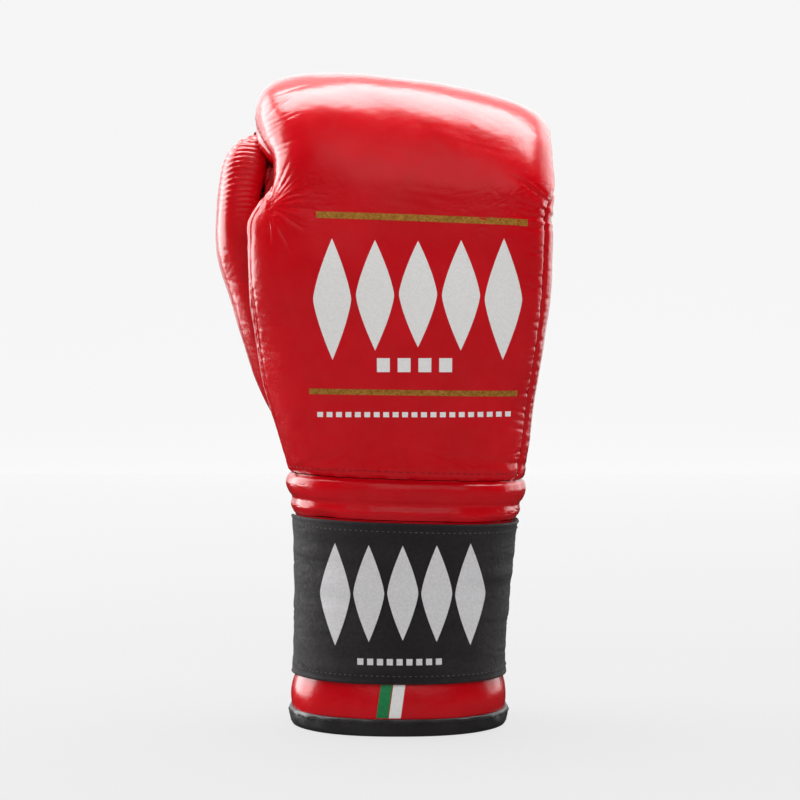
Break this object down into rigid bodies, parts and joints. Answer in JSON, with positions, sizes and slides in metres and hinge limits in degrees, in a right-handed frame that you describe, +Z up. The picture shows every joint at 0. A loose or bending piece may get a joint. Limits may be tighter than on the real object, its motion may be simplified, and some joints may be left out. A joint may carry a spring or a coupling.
{
  "type": "boxing glove",
  "caption": "Padded red leather boxing glove standing on its cuff, with an attached thumb, curled fist, black elastic wrist strap with a hook-and-loop tail, and a bound hem",
  "frame": {"origin": "centre of the glove's bounding box, on the plane its hem stands on", "axes": "+Z up from the hem to the knuckles; the back of the hand faces -Y and the palm +Y; the thumb is at -X and the little finger at +X"},
  "size_m": [0.1658, 0.1194, 0.32],
  "materials": {
    "red_leather": "smooth glossy leather with a fine grain",
    "foam": "layered soft foam, inside the leather",
    "lining": "dark woven lining",
    "black_elastic": "ribbed woven elastic",
    "hook_and_loop": "hook-and-loop tape",
    "black_binding": "black synthetic leather binding",
    "black_tab": "black synthetic leather tab",
    "white_label": "blank woven label"
  },
  "bodies": {
    "cuff": {"wrist_band": "red_leather", "wrist_lining": "lining", "cuff_back_leather": "red_leather", "cuff_back_foam": "foam", "cuff_thumb_flap_leather": "red_leather", "cuff_thumb_flap_foam": "foam", "cuff_little_flap_leather": "red_leather", "cuff_little_flap_foam": "foam", "cuff_lining": "lining", "slit_gusset": "black_elastic", "care_label": "white_label", "hem_binding": "black_binding", "wrist_strap": "black_elastic", "loop_tape": "hook_and_loop"},
    "mitt": {"back_panel": "red_leather", "little_side_panel": "red_leather", "little_fist_panel": "red_leather", "thumb_side_panel": "red_leather", "thumb_fist_panel": "red_leather", "palm_panel": "red_leather", "finger_inner_panel": "red_leather", "fingertip_panel": "red_leather", "hand_back_foam": "foam", "knuckle_foam": "foam", "knuckle_crown_foam": "foam", "finger_crown_foam": "foam", "finger_back_foam": "foam", "finger_end_foam": "foam", "little_side_foam": "foam", "little_fist_foam": "foam", "thumb_side_foam": "foam", "thumb_fist_foam": "foam", "palm_foam": "foam", "finger_inner_foam": "foam", "fingertip_foam": "foam", "hand_lining": "lining", "grip_bar": "lining", "thumb_outer_panel": "red_leather", "thumb_inner_panel": "red_leather", "thumb_outer_foam": "foam", "thumb_inner_foam": "foam", "thumb_lining": "lining", "thumb_lock": "red_leather"},
    "strap_tail": {"strap_tail": "black_elastic", "hook_tape": "hook_and_loop", "strap_end_tab": "black_tab"}
  },
  "joints": [
    {"name": "wrist_flex", "type": "hinge", "parent": "cuff", "child": "mitt", "pos_m": [0.0066, -0.0037, 0.112], "axis": [1, 0, 0], "range_deg": [-12, 12], "stiffness_Nm_per_rad": 6, "deforming": ["wrist_band", "wrist_lining"]},
    {"name": "strap_peel", "type": "hinge", "parent": "cuff", "child": "strap_tail", "pos_m": [0.0563, 0.025, 0.0623], "axis": [-0.0813, -0.0255, -0.9964], "range_deg": [0, 150]}
  ]
}
